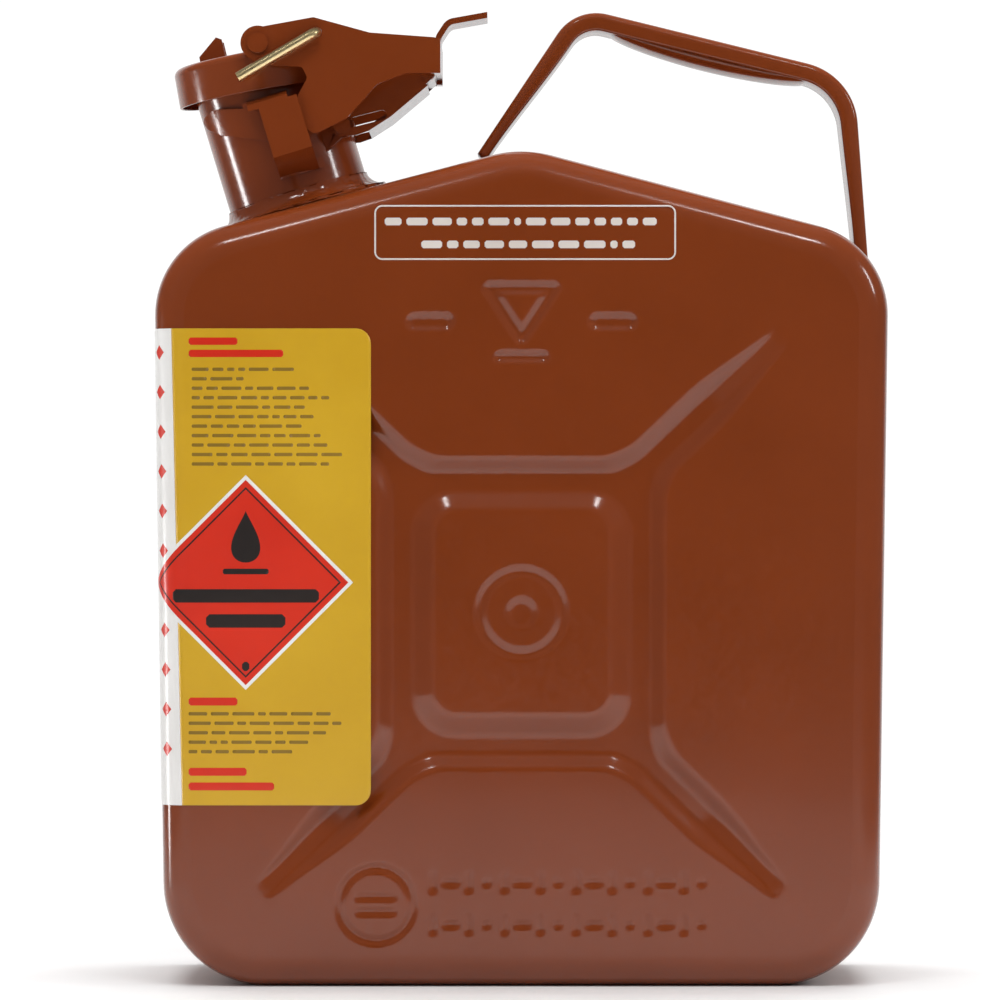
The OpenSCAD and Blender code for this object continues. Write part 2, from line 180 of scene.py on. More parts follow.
def mixed_colour(nodes, links, source, dark, light):
    """Colour that a noise moves between a darker and a lighter one."""
    blend = nodes.new("ShaderNodeValToRGB")
    blend.color_ramp.elements[0].position = NOISE_LOW
    blend.color_ramp.elements[1].position = NOISE_HIGH
    blend.color_ramp.elements[0].color = (*dark, 1)
    blend.color_ramp.elements[1].color = (*light, 1)
    links.new(source, blend.inputs["Fac"])
    return blend.outputs["Color"]


def add_bump(nodes, links, height, strength, distance):
    """Fine relief that stands as proud as the distance, in millimetres."""
    bump = nodes.new("ShaderNodeBump")
    bump.inputs["Strength"].default_value = strength
    bump.inputs["Distance"].default_value = distance * MM
    links.new(height, bump.inputs["Height"])
    return bump.outputs["Normal"]


def surface(name, dark, light, rough, grain, bump, bump_mm, metallic=0.0, coat=0.0):
    """Material whose colour, roughness and relief all vary a little over the surface."""
    material = bpy.data.materials.new(name)
    material.use_nodes = True
    nodes, links = material.node_tree.nodes, material.node_tree.links
    shader = nodes["Principled BSDF"]
    shader.inputs["Metallic"].default_value = metallic
    shader.inputs["Coat Weight"].default_value = coat
    shader.inputs["Coat Roughness"].default_value = COAT_ROUGHNESS
    broad = add_noise(nodes, links, PATCHES, 4.0)
    fine = add_noise(nodes, links, grain, 3.0)
    links.new(mixed_colour(nodes, links, broad, dark, light), shader.inputs["Base Color"])
    links.new(mapped(nodes, links, fine, *rough), shader.inputs["Roughness"])
    links.new(add_bump(nodes, links, fine, bump, bump_mm), shader.inputs["Normal"])
    return material


PAINT = surface(
    "brown_enamel", (0.185, 0.034, 0.0062), (0.205, 0.038, 0.0074),
    rough=(0.13, 0.2), coat=0.15, grain=520.0, bump=0.06, bump_mm=0.03)
ZINC = surface(
    "yellow_zinc", (0.80, 0.60, 0.28), (0.92, 0.76, 0.44),
    metallic=1.0, rough=(0.26, 0.38), grain=900.0, bump=0.12, bump_mm=0.02)
STEEL = surface(
    "plated_steel", (0.42, 0.42, 0.42), (0.58, 0.58, 0.59),
    metallic=1.0, rough=(0.24, 0.34), grain=260.0, bump=0.05, bump_mm=0.02)
RUBBER = surface(
    "black_rubber", (0.02, 0.02, 0.02), (0.035, 0.035, 0.035),
    rough=(0.55, 0.75), grain=1500.0, bump=0.3, bump_mm=0.04)
LABEL_YELLOW = surface(
    "label_yellow", (0.58, 0.33, 0.010), (0.64, 0.38, 0.016),
    rough=(0.28, 0.36), coat=0.2, grain=700.0, bump=0.05, bump_mm=0.03)
LABEL_WHITE = surface(
    "label_white", (0.78, 0.76, 0.74), (0.86, 0.85, 0.83),
    rough=(0.28, 0.36), coat=0.2, grain=700.0, bump=0.05, bump_mm=0.03)
LABEL_RED = surface(
    "label_red", (0.60, 0.018, 0.004), (0.68, 0.026, 0.006),
    rough=(0.28, 0.36), coat=0.2, grain=700.0, bump=0.05, bump_mm=0.03)
LABEL_DARK = surface(
    "label_dark", (0.010, 0.006, 0.005), (0.018, 0.010, 0.008),
    rough=(0.3, 0.4), grain=700.0, bump=0.05, bump_mm=0.03)
LABEL_INK = surface(
    "label_ink", (0.22, 0.13, 0.012), (0.28, 0.16, 0.018),
    rough=(0.3, 0.4), grain=700.0, bump=0.05, bump_mm=0.03)
SCREEN_WHITE = surface(
    "screen_print_white", (0.62, 0.55, 0.50), (0.74, 0.68, 0.63),
    rough=(0.3, 0.4), grain=1200.0, bump=0.1, bump_mm=0.02)


# ---- Pressed shells ----

# Thickness of the sheet, and how far the faces dome, over what half size and round which height
SHEET = 1.0
CROWN = 0.7
CROWN_HALF_W = 125
CROWN_HALF_H = 160
CROWN_Z = 130

# Spacing of the points over the front and the rear face, and the rough height that they cover
FRONT_SPACING = 0.9
REAR_SPACING = 1.4
FACE_HEIGHT = 250
# Width of the strip at each side of the face where the columns draw together
CORNER_STRIP = 18
# How far each half stops short of the mid plane
SEAM_GAP = 0.05

ROOF_C = APEX_Z * math.cos(ROOF_SLOPE)
SHOULDER_X = HALF_MEAN - SHOULDER_R
SHOULDER_Z = (ROOF_C - SHOULDER_R - SHOULDER_X * math.sin(ROOF_SLOPE)) / math.cos(ROOF_SLOPE)
BASE_X = HALF_MEAN - BASE_R
APEX_C = APEX_Z - ROOF_R / math.cos(ROOF_SLOPE)


def spread(z):
    """Widening of the can from the base to the shoulders."""
    t = (np.asarray(z) - BASE_R) / (SHOULDER_Z - BASE_R)
    return (HALF_BASE + (HALF_TOP - HALF_BASE) * t) / HALF_MEAN


def outline_top(x, inset):
    """Height and outward normal of the top of the outline over each x, before spreading."""
    a = np.abs(x)
    sign = np.where(x < 0, -1.0, 1.0)
    peak_r, side_r = ROOF_R - inset, SHOULDER_R - inset
    peak_x = peak_r * math.sin(ROOF_SLOPE)
    side_x = SHOULDER_X + side_r * math.sin(ROOF_SLOPE)
    z_peak = APEX_C + np.sqrt(np.maximum(peak_r ** 2 - a ** 2, 0))
    z_line = (ROOF_C - inset - a * math.sin(ROOF_SLOPE)) / math.cos(ROOF_SLOPE)
    z_side = SHOULDER_Z + np.sqrt(np.maximum(side_r ** 2 - np.maximum(a - SHOULDER_X, 0) ** 2, 0))
    nx_side = (a - SHOULDER_X) / side_r
    z = np.where(a < peak_x, z_peak, np.where(a < side_x, z_line, z_side))
    nx = np.where(a < peak_x, a / peak_r, np.where(a < side_x, math.sin(ROOF_SLOPE), nx_side))
    return z, sign * nx, np.sqrt(np.maximum(1 - nx ** 2, 0))


def outline_bottom(x, inset):
    """Height and outward normal of the bottom of the outline over each x, before spreading."""
    a = np.abs(x)
    sign = np.where(x < 0, -1.0, 1.0)
    r = BASE_R - inset
    over = np.maximum(a - BASE_X, 0)
    z = BASE_R - np.sqrt(np.maximum(r ** 2 - over ** 2, 0))
    return z, sign * over / r, -np.sqrt(np.maximum(1 - (over / r) ** 2, 0))


def smooth(t):
    """Soft step from 0 to 1."""
    t = np.clip(t, 0, 1)
    return t * t * (3 - 2 * t)


def ramp(t, soft=0.16):
    """Straight slope from 0 to 1 with a small fillet at each end."""
    def area(u):
        """Running sum of a straight ramp that stops at 1."""
        return np.where(u < 0, 0.0, np.where(u < 1, u * u / 2, u - 0.5))
    return (area(t + soft) - area(t - soft)) / (2 * soft)


def box_distance(x, z, hw, hh, r):
    """Distance outside a rounded box of half width hw and half height hh. Negative inside it."""
    qx = np.abs(x) - (hw - r)
    qz = np.abs(z) - (hh - r)
    outside = np.sqrt(np.maximum(qx, 0) ** 2 + np.maximum(qz, 0) ** 2)
    return outside + np.minimum(np.maximum(qx, qz), 0) - r


def line_distance(x, z, x1, z1, x2, z2):
    """Distance to a segment, and how far along it the nearest point is."""
    dx, dz = x2 - x1, z2 - z1
    t = ((x - x1) * dx + (z - z1) * dz) / (dx * dx + dz * dz)
    near = np.clip(t, 0, 1)
    return np.hypot(x - x1 - near * dx, z - z1 - near * dz), t


# Pressed cross, round its middle: a ring, a raised panel inside it and four arms
CROSS_Z = 122.6
RING_HW, RING_HH, RING_R = 46.7, 50.6, 7.0
PANEL_HW, PANEL_HH, PANEL_R = 29.3, 33.9, 8.0
PANEL_WALL = 6.0
ARM_START = (38.0, 45.5)
ARM_TIP_Z = 89.6
UPPER_TIP_X = 84.2
LOWER_TIP_X = 83.4
ARM_HALF = 7.4
# Share of an arm's length where it starts to narrow and to rise, and the shares over which it does
NARROW_BY, NARROW_START, NARROW_SPAN = 3.9, 0.45, 0.6
RISE_START, RISE_SPAN, RISE_FILLET = 0.52, 0.5, 0.1
GROOVE = 3.0
WALL = 3.7
LEAST_WALL = 0.3
JOIN_R = 6.5


def cross_depth(x, z):
    """Depth of the pressed cross: a ring with four arms that rise to nothing at their tips."""
    z = z - CROSS_Z
    ring = box_distance(x, z, RING_HW, RING_HH, RING_R)
    tip_x = np.where(z > 0, UPPER_TIP_X, LOWER_TIP_X)
    dist, t = line_distance(np.abs(x), np.abs(z), *ARM_START, tip_x, ARM_TIP_Z)
    arm = dist - (ARM_HALF - NARROW_BY * smooth((t - NARROW_START) / NARROW_SPAN))
    share = np.clip(0.5 + 0.5 * (arm - ring) / JOIN_R, 0, 1)
    groove = arm * (1 - share) + ring * share - JOIN_R * share * (1 - share)
    floor = GROOVE * (1 - ramp((t - RISE_START) / RISE_SPAN, RISE_FILLET))
    floor = np.where(ring < 0, GROOVE, floor)
    wall = WALL * floor / GROOVE + LEAST_WALL
    plateau = box_distance(x, z, PANEL_HW, PANEL_HH, PANEL_R)
    return floor * ramp(-groove / wall) * ramp(plateau / PANEL_WALL)


def stroke(x, z, points, half, closed=False):
    """How deep inside a stroke of a round pen each point lies, from 0 to 1."""
    edge, wall = 0.5, 1.5
    best = np.full(x.shape, 1e9)
    ends = points[1:] + (points[:1] if closed else [])
    for (x1, z1), (x2, z2) in zip(points, ends):
        best = np.minimum(best, line_distance(x, z, x1, z1, x2, z2)[0])
    return smooth((half + edge - best) / wall)


# Generic pressed marks on the front
LEVEL_Z = 218.0
LEVEL_DEPTH = 0.95
# Near and far end of the dashes beside the triangle, and the half widths of the sign's strokes
DASH_NEAR, DASH_FAR = 25.0, 35.0
DASH_PEN, TRIANGLE_PEN, LOW_DASH_PEN = 2.4, 1.7, 1.5
STAMP_DEPTH = 0.6
STAMP_WALL = 1.6
STAMP_PEN = 0.9
BOSS_RING_R = 13.5
BOSS_RING_HALF = 2.0
DIMPLE_R = 5.2
BADGE_X, BADGE_Z, BADGE_R = -47.6, 27.2, 12.0
BADGE_LEFT, BADGE_RIGHT = -53.0, -42.2
BADGE_BAR_RISE = 2.4
PIP_ROWS = (34.4, 20.6)
PIP_LEFT, PIP_RIGHT, PIP_COUNT = -29.0, 59.0, 16
# Half height and half width of the pips, in turn
PIP_KINDS = ((2.3, 0.0), (0.0, 1.6), (2.3, 0.0), (0.1, 0.0))


def level_sign(x, z):
    """Fill level sign: a triangle with a dash on each side and one below."""
    sign = np.zeros_like(x)
    for side in (-1, 1):
        dash = [(side * DASH_NEAR, LEVEL_Z), (side * DASH_FAR, LEVEL_Z)]
        sign = np.maximum(sign, stroke(x, z, dash, DASH_PEN))
    triangle = [(-10.5, LEVEL_Z + 11), (10.5, LEVEL_Z + 11), (0, LEVEL_Z - 5)]
    sign = np.maximum(sign, stroke(x, z, triangle, TRIANGLE_PEN, closed=True))
    low_dash = [(-7.0, LEVEL_Z - 11.5), (7.0, LEVEL_Z - 11.5)]
    return np.maximum(sign, stroke(x, z, low_dash, LOW_DASH_PEN))


def panel_rings(x, z):
    """Ring and round dimple in the middle of the raised panel."""
    around = np.hypot(x, z - CROSS_Z)
    ring = smooth((BOSS_RING_HALF - np.abs(around - BOSS_RING_R)) / STAMP_WALL)
    return ring + smooth((DIMPLE_R - around) / STAMP_WALL)


def stamped_rows(x, z):
    """Ring with two bars in it, and two rows of pips beside it, low on the face."""
    ring = np.abs(np.hypot(x - BADGE_X, z - BADGE_Z) - BADGE_R)
    stamp = smooth((1.5 - ring) / 1.2)
    for rise in (BADGE_BAR_RISE, -BADGE_BAR_RISE):
        bar_line = [(BADGE_LEFT, BADGE_Z + rise), (BADGE_RIGHT, BADGE_Z + rise)]
        stamp = np.maximum(stamp, stroke(x, z, bar_line, STAMP_PEN))
    for row_z in PIP_ROWS:
        for i, cx in enumerate(np.linspace(PIP_LEFT, PIP_RIGHT, PIP_COUNT)):
            up, across = PIP_KINDS[i % len(PIP_KINDS)]
            pip = [(cx - across, row_z - up), (cx + across, row_z + up)]
            stamp = np.maximum(stamp, stroke(x, z, pip, STAMP_PEN))
    return stamp


def mark_depth(x, z):
    """Depth of all the pressed marks on the front."""
    stamps = panel_rings(x, z) + stamped_rows(x, z)
    return LEVEL_DEPTH * level_sign(x, z) + STAMP_DEPTH * stamps


def face_crown(x, z):
    """How far the gently domed face falls back from its foremost point."""
    return CROWN * (1 - (1 - (x / CROWN_HALF_W) ** 2) * (1 - ((z - CROWN_Z) / CROWN_HALF_H) ** 2))


def face_y(x, z, marks):
    """How far each point of a face lies back from its foremost plane."""
    y = face_crown(x, z) + cross_depth(x, z)
    if marks:
        y = y + mark_depth(x, z)
    return y


def column_places(spacing):
    """Places of the columns across the face, closer together at the round corners."""
    limit = HALF_MEAN - DRAFT - EDGE_R
    inner = limit - CORNER_STRIP
    middle = np.linspace(-inner, inner, int(2 * inner / spacing) + 1)
    turn = np.linspace(0, math.pi / 2, 26)[1:]
    right = inner + (limit - inner) * np.sin(turn)
    return np.concatenate([-right[::-1], middle, right])


def loop_faces(first, second):
    """Quads between two closed loops of vertex numbers."""
    n = len(first)
    return [(int(first[i]), int(first[(i + 1) % n]), int(second[(i + 1) % n]), int(second[i]))
            for i in range(n)]


def grid_border(grid):
    """Vertex numbers round the outside of a grid."""
    return np.concatenate([grid[0, :], grid[1:, -1], grid[-1, -2::-1], grid[-2:0:-1, 0]])


RIM_TURNS = np.linspace(0, math.pi / 2, 11)[1:]
SIDE_SHARES = np.linspace(0, 1, 21)[1:]
HOLE_R = NECK_R + 1.8
# How far below the neck's foot the hole may reach
HOLE_BAND = 30


def outside_neck(verts, faces):
    """The faces that don't lie wholly inside the neck's hole."""
    turn = np.array([math.cos(NECK_TILT), math.sin(NECK_TILT)])
    sideways = (verts[:, [0, 2]] - np.array(NECK_FOOT)) @ turn
    on_roof = verts[:, 2] > NECK_FOOT[1] - HOLE_BAND
    inside = (np.hypot(sideways, verts[:, 1]) < HOLE_R) & on_roof
    return [face for face in faces if not inside[list(face)].all()]


def face_grid(spacing, marks):
    """Points of a face in rows and columns, and the outward direction in X and Z along its border."""
    inset = DRAFT + EDGE_R
    columns = column_places(spacing)
    rows = int(FACE_HEIGHT / spacing)
    top, top_nx, top_nz = outline_top(columns, inset)
    low, low_nx, low_nz = outline_bottom(columns, inset)
    low = low - DRAFT
    share = np.linspace(0, 1, rows)[:, None]
    z = low[None, :] * (1 - share) + top[None, :] * share
    x = np.repeat(columns[None, :], rows, axis=0) * spread(z)
    y = -FACE_Y + face_y(x, z, marks)
    side = np.ones(rows)
    out_x = np.concatenate([low_nx, side[1:], top_nx[-2::-1], -side[1:-1]])
    out_z = np.concatenate([low_nz, 0 * side[1:], top_nz[-2::-1], 0 * side[1:-1]])
    return np.stack([x, y, z], axis=2), out_x, out_z


def shell_mesh(spacing, marks):
    """Verts and faces of one pressed half, from its face round the rim and back to the seam."""
    points, out_x, out_z = face_grid(spacing, marks)
    rows, columns = points.shape[:2]
    count = rows * columns
    verts = [points.reshape(-1, 3)]
    faces = grid_faces(rows, columns)
    previous = grid_border(np.arange(count).reshape(rows, columns))
    border = verts[0][previous]
    rings = [(EDGE_R * math.sin(t), EDGE_R * (1 - math.cos(t)), 0.0) for t in RIM_TURNS]
    rings += [(EDGE_R, EDGE_R + (FACE_Y - EDGE_R) * t, DRAFT * t) for t in SIDE_SHARES]
    for out, back, taper in rings:
        ring = border.copy()
        ring[:, 0] += out_x * (out + taper)
        ring[:, 2] += out_z * out + np.maximum(out_z, 0) * taper
        blend = min(back / EDGE_R, 1.0)
        ring[:, 1] = (border[:, 1] * (1 - blend) + -FACE_Y * blend) + back
        if taper == DRAFT:
            ring[:, 1] = -SEAM_GAP
        verts.append(ring)
        current = np.arange(count, count + len(ring))
        faces += loop_faces(previous, current)
        previous = current
        count += len(ring)
    verts = np.concatenate(verts)
    return verts, outside_neck(verts, faces)


def build_shells():
    """Both pressed halves. The rear one is the front's mirror image without the marks."""
    verts, faces = shell_mesh(FRONT_SPACING, True)
    front = new_piece("front_shell_pressing", verts, faces, "can", PAINT)
    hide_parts("front_shell")
    verts, faces = shell_mesh(REAR_SPACING, False)
    verts = verts * np.array([1, -1, 1])
    rear = new_piece("rear_shell_pressing", verts, [f[::-1] for f in faces], "can", PAINT)
    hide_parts("rear_shell")
    for shell in (front, rear):
        thicken(shell, SHEET)


build_shells()


# ---- Carried-over CAD nodes ----

WELD_REACH = 0.002
# Widths of the softened edges: of turned and tubular parts, of pins and the lid, and of bent sheet
TUBE_EDGE = 0.2
PIN_EDGE = 0.3
SHEET_EDGE = 0.45
WIRE_EDGE = 0.25


def dress(node, material, bevel, angle=35):
    """Gives a CAD node its material, and softens its edges."""
    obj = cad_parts[node]
    obj.data.materials.clear()
    obj.data.materials.append(material)
    weld = obj.modifiers.new("weld", "WELD")
    weld.merge_threshold = WELD_REACH * MM
    soften(obj, bevel, angle)
    return obj


def ripple(obj, size, height):
    """Makes a surface uneven, as a hand weld leaves it."""
    texture = bpy.data.textures.new("weld_ripple", "CLOUDS")
    texture.noise_scale = size * MM
    push = obj.modifiers.new("ripple", "DISPLACE")
    push.texture = texture
    push.strength = height * MM


for name in ("seam_weld", "neck"):
    dress(name, PAINT, TUBE_EDGE)
ripple(dress("neck_collar", PAINT, TUBE_EDGE), 4.0, 0.7)
for name in ("bracket_front", "bracket_rear", "hinge_lugs", "hinge_link", "lever", "lid_saddle"):
    dress(name, PAINT, SHEET_EDGE)
for name in ("hinge_studs", "link_pin", "lid_rivets", "retainer_rivet"):
    dress(name, PAINT, PIN_EDGE)
dress("lid", PAINT, PIN_EDGE, 50)
for name in ("breather_tube", "gasket_retainer"):
    dress(name, STEEL, TUBE_EDGE)
dress("gasket", RUBBER, PIN_EDGE)
dress("locking_pin", ZINC, WIRE_EDGE)


# ---- Label and prints ----

LABEL_T = 0.25
LABEL_RIGHT = -49.3
LABEL_LOW = 59.6
LABEL_HIGH = 215.8
LABEL_CORNER = 5.0
# Where the label ends on the can's left side
LABEL_WRAP_Y = -24.0
# The line where the yellow film meets the white strip, at the label's top and bottom
STRIP_TOP = -114.8
STRIP_LOW = -111.2
INK_T = 0.03


def half_flat(z):
    """Half width of the flat of the face, up to where its edge starts to turn."""
    return (HALF_MEAN - DRAFT - EDGE_R) * float(spread(z))


def wrapped(x, z, lift):
    """Point over the front face, carried on round the left edge once x runs past the flat."""
    flat = half_flat(z)
    crown = float(face_crown(max(x, -flat), z))
    if x >= -flat:
        return (x, -FACE_Y + crown - lift, z)
    past = -flat - x
    quarter = EDGE_R * math.pi / 2
    r = EDGE_R + lift
    if past <= quarter:
        a = past / EDGE_R
        y = -FACE_Y + EDGE_R - r * math.cos(a) + crown * (1 - past / quarter)
        return (-flat - r * math.sin(a), y, z)
    back = past - quarter
    return (-flat - r - DRAFT * back / (FACE_Y - EDGE_R), -FACE_Y + EDGE_R + back, z)


def rows_between(low, high, rows):
    """Heights from low to high, closer together at both ends."""
    shares = [0.5 - 0.5 * math.cos(math.pi * r / rows) for r in range(rows + 1)]
    return [low + (high - low) * share for share in shares]


def film(name, material, left, right, columns, rows):
    """Thin closed film over the face. left and right give its edges as functions of height."""
    verts = []
    for level in (LABEL_T, 0):
        for z in rows_between(LABEL_LOW, LABEL_HIGH, rows):
            x1, x2 = left(z), right(z)
            verts += [wrapped(x1 + (x2 - x1) * c / columns, z, level) for c in range(columns + 1)]
    count = (columns + 1) * (rows + 1)
    grid = np.arange(count).reshape(rows + 1, columns + 1)
    faces = grid_faces(rows + 1, columns + 1)
    faces += [tuple(i + count for i in reversed(face)) for face in faces]
    loop = grid_border(grid)
    faces += loop_faces(loop, loop + count)
    return new_piece(name, verts, faces, "can", material)


def label_right(z):
    """Right edge of the label, with its rounded corners."""
    over = max(LABEL_LOW + LABEL_CORNER - z, z - (LABEL_HIGH - LABEL_CORNER), 0)
    return LABEL_RIGHT - LABEL_CORNER + math.sqrt(max(LABEL_CORNER ** 2 - over ** 2, 0))


def strip_edge(z):
    """Line between the yellow film and the white strip."""
    share = (z - LABEL_LOW) / (LABEL_HIGH - LABEL_LOW)
    return STRIP_LOW + (STRIP_TOP - STRIP_LOW) * share


def wrap_end(z):
    """Left edge of the label, measured on round the can's left edge."""
    return -half_flat(z) - EDGE_R * math.pi / 2 - (FACE_Y - EDGE_R + LABEL_WRAP_Y)


def build_label():
    """Yellow film, and the white strip that carries it on round the left edge."""
    main = film("label_film", LABEL_YELLOW, strip_edge, label_right, 60, 60)
    edge = film("label_edge_strip", LABEL_WHITE, wrap_end, strip_edge, 70, 40)
    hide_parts("label")


def ink(name, material, shapes, lift):
    """Printed shapes over the face, each a closed outline in X and Z, cut fine so that it bends."""
    strip, least_edge = 1.0, 0.005
    flat = bmesh.new()
    for outline in shapes:
        flat.faces.new([flat.verts.new((x, 0, z)) for x, z in outline])
    reach = [v.co.x for v in flat.verts]
    for x in np.arange(math.floor(min(reach)), max(reach), strip):
        everything = flat.verts[:] + flat.edges[:] + flat.faces[:]
        bmesh.ops.bisect_plane(flat, geom=everything, plane_co=(x, 0, 0), plane_no=(1, 0, 0))
    bmesh.ops.triangulate(flat, faces=flat.faces)
    bmesh.ops.dissolve_degenerate(flat, dist=least_edge, edges=flat.edges)
    verts = [wrapped(v.co.x, v.co.z, lift) for v in flat.verts]
    flat.verts.index_update()
    faces = [tuple(v.index for v in face.verts) for face in flat.faces]
    flat.free()
    piece = new_piece(name, verts, faces, "can", material)
    thicken(piece, INK_T / 2)


def bar(x1, x2, z, half):
    """Outline of a plain bar with softened corners."""
    nip = half * 0.5
    right = [(x2 - nip, z - half), (x2, z - half + nip), (x2, z + half - nip), (x2 - nip, z + half)]
    left = [(x1 + nip, z + half), (x1, z + half - nip), (x1, z - half + nip), (x1 + nip, z - half)]
    return right + left


SHORTEST_WORD = 2.2
LONGEST_WORD = 7.5
# A line stops once less than this is left of it
LINE_REST = 1.5


def words(x1, x2, z, half, seed, gap=1.2):
    """A line of plain bars of uneven length, in place of writing."""
    pick = np.random.default_rng(seed)
    bars, x = [], x1
    while x < x2 - LINE_REST:
        end = min(x + pick.uniform(SHORTEST_WORD, LONGEST_WORD), x2)
        bars.append(bar(x, end, z, half))
        x = end + gap
    return bars


def diamond(cx, cz, reach):
    """Outline of a square that stands on its corner."""
    return [(cx - reach, cz), (cx, cz - reach), (cx + reach, cz), (cx, cz + reach)]


def drop(cx, cz, size):
    """Plain liquid drop, as a generic sign for fuel."""
    points, count = [], 48
    for k in range(count):
        a = 2 * math.pi * k / count
        narrow = math.sin(a / 2) ** 1.5
        points.append((cx + size * math.sin(a) * narrow * 0.8, cz + size * math.cos(a)))
    return points


def band(outer, inner):
    """Band between two closed outlines, as one four-cornered shape to each side."""
    n = len(outer)
    return [[outer[k], outer[(k + 1) % n], inner[(k + 1) % n], inner[k]] for k in range(n)]


SIGN_X = -90.3
SIGN_Z = 132.6
SIGN_REACH = 33.6
SIGN_BORDER = 1.6
# How far inside the sign's edge its thin line starts and ends
SIGN_LINE = (2.4, 3.1)
DROP_RISE = 15.0
DROP_SIZE = 8.5
# Half length, height over the sign's middle and half thickness of each bar on it
SIGN_BARS = ((7.5, 3.6, 0.9), (24, -4.4, 2.2), (13, -12.6, 2.2), (1.2, -27.5, 1.5))

PRINT_LEFT = -109.0
PRINT_LIFT = LABEL_T + INK_T
# Length, height and half thickness of each heading
HEADINGS = ((16, 211.6, 1.2), (31, 207.6, 1.2), (16, 93.6, 1.3), (19, 70.6, 1.3), (28, 65.8, 1.3))
UPPER_LINES_Z = 202.4
UPPER_LINES = (37, 18, 41, 46, 38, 42, 37, 45, 48, 51, 46)
LOWER_LINES_Z = 89.6
LOWER_LINES = (48, 50, 45, 41, 34)
LOWER_SEED = 40
LINE_STEP = 3.1
LINE_HALF = 0.55
PRINT_MARGIN = 3


def build_label_sign():
    """Red diamond with a white border, a thin dark line, a drop and plain bars."""
    ink("label_sign_border", LABEL_WHITE, [diamond(SIGN_X, SIGN_Z, SIGN_REACH + SIGN_BORDER)], PRINT_LIFT)
    ink("label_sign_field", LABEL_RED, [diamond(SIGN_X, SIGN_Z, SIGN_REACH)], PRINT_LIFT + INK_T)
    outer, inner = [diamond(SIGN_X, SIGN_Z, SIGN_REACH - inset) for inset in SIGN_LINE]
    ink("label_sign_line", LABEL_DARK, band(outer, inner), PRINT_LIFT + 2 * INK_T)
    marks = [drop(SIGN_X, SIGN_Z + DROP_RISE, DROP_SIZE)]
    for reach, rise, half in SIGN_BARS:
        marks.append(bar(SIGN_X - reach, SIGN_X + reach, SIGN_Z + rise, half))
    ink("label_sign_marks", LABEL_DARK, marks, PRINT_LIFT + 2 * INK_T)


def build_label_print():
    """The sign, the headings, the small print and a column of small diamonds along the strip."""
    build_label_sign()
    heads = [bar(PRINT_LEFT, PRINT_LEFT + length, z, half) for length, z, half in HEADINGS]
    ink("label_headings", LABEL_RED, heads, PRINT_LIFT)
    lines = []
    for i, length in enumerate(UPPER_LINES):
        end = min(PRINT_LEFT + length, LABEL_RIGHT - PRINT_MARGIN)
        lines += words(PRINT_LEFT + 1, end, UPPER_LINES_Z - LINE_STEP * i, LINE_HALF, i)
    for i, length in enumerate(LOWER_LINES):
        z = LOWER_LINES_Z - LINE_STEP * i
        lines += words(PRINT_LEFT, PRINT_LEFT + length, z, LINE_HALF, LOWER_SEED + i)
    ink("label_small_print", LABEL_INK, lines, PRINT_LIFT)
    column = [diamond(strip_edge(z) - 5.5, z, 2.4) for z in np.linspace(78, 208, 11)]
    ink("label_edge_marks", LABEL_RED, column, PRINT_LIFT)


SCREEN_X, SCREEN_Z = 1.2, 247.2
SCREEN_HALF_W, SCREEN_HALF_H = 49.4, 9.0
SCREEN_CORNER = 2.6
SCREEN_LINE = 0.55
SCREEN_WORD_HALF = 1.25
SCREEN_WORD_GAP = 1.6
# Left end, right end and height of each line from the frame's middle, and its seed
SCREEN_LINES = ((-46, 46, 3.6, 7), (-34, 36, -3.9, 9))


def screen_outline(inset):
    """Rounded outline of the printed frame, drawn in by the inset."""
    half_w, half_h, r = SCREEN_HALF_W - inset, SCREEN_HALF_H - inset, SCREEN_CORNER - inset
    points = []
    for quarter, (right, up) in enumerate(((1, 1), (-1, 1), (-1, -1), (1, -1))):
        for turn in range(0, 91, 15):
            a = math.radians(90 * quarter + turn)
            x = SCREEN_X + right * (half_w - r) + r * math.cos(a)
            points.append((x, SCREEN_Z + up * (half_h - r) + r * math.sin(a)))
    return points


def build_screen_print():
    """White printed frame on the upper face, with plain bars in place of writing."""
    shapes = band(screen_outline(0), screen_outline(SCREEN_LINE))
    for left, right, rise, seed in SCREEN_LINES:
        z = SCREEN_Z + rise
        shapes += words(SCREEN_X + left, SCREEN_X + right, z, SCREEN_WORD_HALF, seed, SCREEN_WORD_GAP)
    ink("screen_print", SCREEN_WHITE, shapes, INK_T)


build_label()
build_label_print()
build_screen_print()


# ---- Handle ----

HANDLE_W = 25.0
LEG_ANGLE = math.radians(56.3)
GRIP_ANGLE = math.radians(13.8)
GRIP_TOP_Z = 329.0
LEFT_FOOT = (-14.7, 275.4)
GRIP_END_X = 111.2
RIGHT_FOOT = (115.9, 239.0)
LEFT_BEND_R = 15.5
RIGHT_BEND_R = 22.0
STRAP_SPACING = 1.6

# Depth of the strap at its left foot, what it gains up to the grip and loses again to the right foot
FOOT_DEPTH = 3.6
GRIP_GAIN, GAIN_SPAN = 2.4, 0.24
RIGHT_LOSS, LOSS_START, LOSS_SPAN = 1.7, 0.72, 0.28
OUTER_EDGE_R = 2.2
INNER_EDGE_R = 0.8

# Liner under the grip: its start, length along the grip, half width, depth of its rim and of its belly
LINER_X = 31.0
LINER_LENGTH = 68.0
LINER_HALF = 10.4
LINER_TOP = 4.6
LINER_RIM = 1.2
LINER_BELLY = 3.4
LINER_T = 0.8


